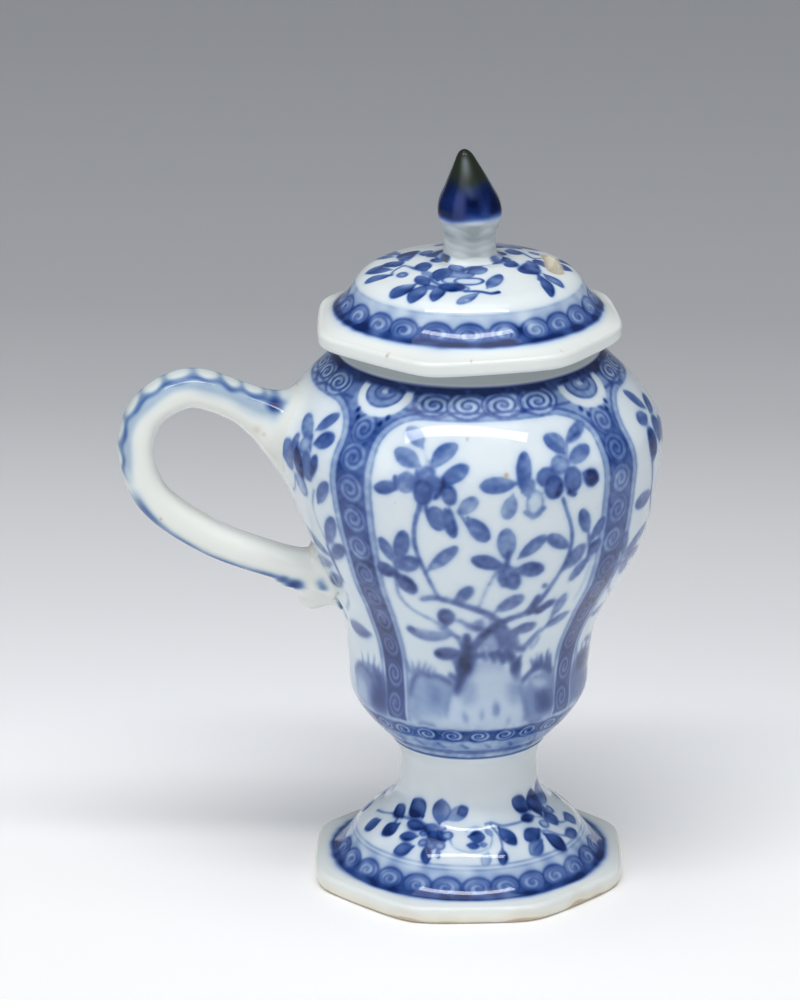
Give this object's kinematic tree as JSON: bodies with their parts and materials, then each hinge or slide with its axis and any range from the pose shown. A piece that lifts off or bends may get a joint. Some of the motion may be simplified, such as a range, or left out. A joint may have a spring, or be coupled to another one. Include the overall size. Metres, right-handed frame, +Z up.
{
  "type": "mustard pot",
  "caption": "Footed porcelain mustard pot with a strap handle and a lift-off domed cover that has a bud finial and a spoon slot.",
  "frame": {"origin": "middle of the outline box, on the plane that the foot stands on", "axes": "+Z up along the pot's axis, -X towards the handle, -Y towards the front flower panel"},
  "size_m": [0.098, 0.07, 0.1365],
  "materials": {
    "painted_porcelain": "clear glossy glaze over underglaze blue painting",
    "plain_porcelain": "clear glossy glaze, bluish white",
    "bud_glaze": "glossy dark blue with an olive tip",
    "bare_porcelain": "unglazed, matt"
  },
  "bodies": {
    "pot": {"foot": "painted_porcelain", "body_lower": "painted_porcelain", "body_upper": "painted_porcelain", "handle": "plain_porcelain"},
    "lid": {"cover": "painted_porcelain", "cover_flange": "bare_porcelain", "finial": "bud_glaze"}
  },
  "joints": [
    {"name": "lid_lift", "type": "slide", "parent": "pot", "child": "lid", "axis": [0, 0, 1], "range_m": [0, 0.05]}
  ]
}
